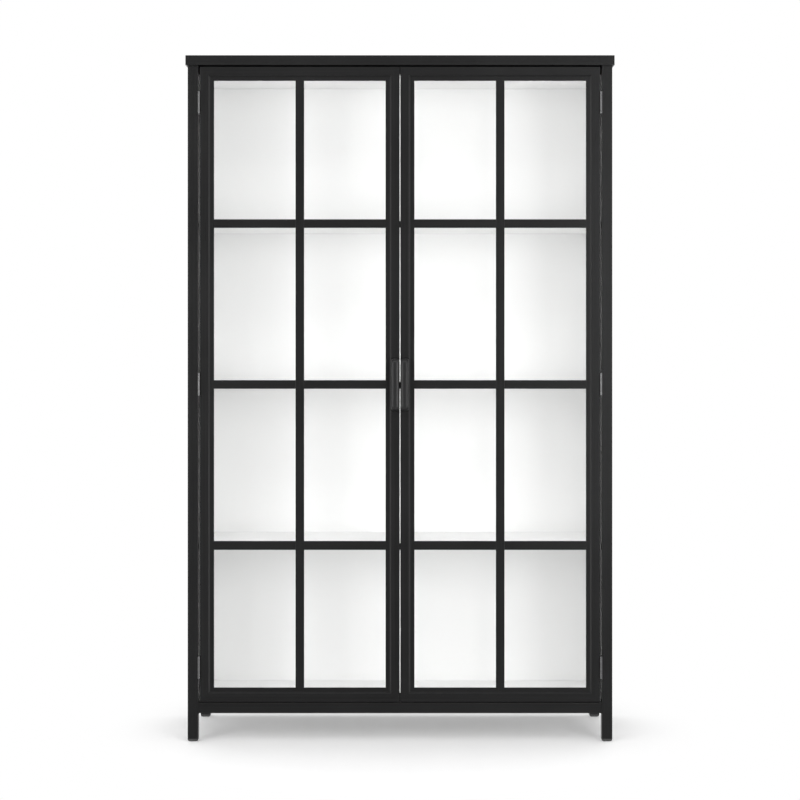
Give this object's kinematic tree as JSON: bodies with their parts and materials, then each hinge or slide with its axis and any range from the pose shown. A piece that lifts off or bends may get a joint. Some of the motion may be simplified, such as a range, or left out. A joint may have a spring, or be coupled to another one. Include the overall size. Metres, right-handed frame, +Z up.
{
  "type": "two-door glazed display case",
  "caption": "Tall black square-tube display case on four legs, with a white lined interior, fixed shelves and a pair of hinged glass doors with glazing bars.",
  "frame": {"origin": "on the floor, under the middle of the overall box, handles included", "axes": "+X to the right seen from the front, -Y towards the viewer (the side the doors open to), +Z up"},
  "size_m": [1.22, 0.434, 1.952],
  "materials": {
    "black_paint": "satin black powder coat on steel",
    "black_hinge_steel": "black, glossier than the frame, rubbed along its edges",
    "white_lacquer": "white satin lacquer on board",
    "white_paint": "white powder coat on steel",
    "glass": "clear float glass with a faint green edge",
    "rubber": "matte black rubber",
    "black_plastic": "moulded black nylon",
    "plated_steel": "zinc plated"
  },
  "bodies": {
    "case": {"back_liner": "white_lacquer", "back_panel": "black_paint", "back_screws": "plated_steel", "bottom_rail_front": "black_paint", "bottom_rail_left": "black_paint", "bottom_rail_rear": "black_paint", "bottom_rail_right": "black_paint", "ceiling_panel": "white_lacquer", "deck_board": "white_lacquer", "door_buffers": "rubber", "door_stop": "black_paint", "foot_glides": "black_plastic", "hinge_case_leaves": "black_hinge_steel", "hinge_pins": "black_hinge_steel", "magnetic_catches": "black_plastic", "post_front_left": "black_paint", "post_front_right": "black_paint", "post_rear_left": "black_paint", "post_rear_right": "black_paint", "shelf_board_lower": "white_lacquer", "shelf_board_middle": "white_lacquer", "shelf_board_upper": "white_lacquer", "shelf_cleats": "white_paint", "shelf_nosings": "black_paint", "side_liner_left": "white_lacquer", "side_liner_right": "white_lacquer", "side_panel_left": "black_paint", "side_panel_right": "black_paint", "top_cap": "black_paint", "top_rail_front": "black_paint", "top_rail_left": "black_paint", "top_rail_rear": "black_paint", "top_rail_right": "black_paint"},
    "left_door": {"door_left_bottom_rail": "black_paint", "door_left_glass": "glass", "door_left_glass_beads": "black_paint", "door_left_glazing_seal": "rubber", "door_left_handle": "black_paint", "door_left_handle_screws": "plated_steel", "door_left_hinge_leaves": "black_hinge_steel", "door_left_hinge_stile": "black_paint", "door_left_horizontal_bars": "black_paint", "door_left_meeting_stile": "black_paint", "door_left_strike_plate": "plated_steel", "door_left_top_rail": "black_paint", "door_left_vertical_bar": "black_paint"},
    "right_door": {"door_right_bottom_rail": "black_paint", "door_right_glass": "glass", "door_right_glass_beads": "black_paint", "door_right_glazing_seal": "rubber", "door_right_handle": "black_paint", "door_right_handle_screws": "plated_steel", "door_right_hinge_leaves": "black_hinge_steel", "door_right_hinge_stile": "black_paint", "door_right_horizontal_bars": "black_paint", "door_right_meeting_stile": "black_paint", "door_right_strike_plate": "plated_steel", "door_right_top_rail": "black_paint", "door_right_vertical_bar": "black_paint"}
  },
  "joints": [
    {"name": "left_door_hinge", "type": "hinge", "parent": "case", "child": "left_door", "pos_m": [-0.57175, -0.1924, 1.017], "axis": [0, 0, -1], "range_deg": [0, 170]},
    {"name": "right_door_hinge", "type": "hinge", "parent": "case", "child": "right_door", "pos_m": [0.57175, -0.1924, 1.017], "axis": [0, 0, 1], "range_deg": [0, 170]}
  ]
}
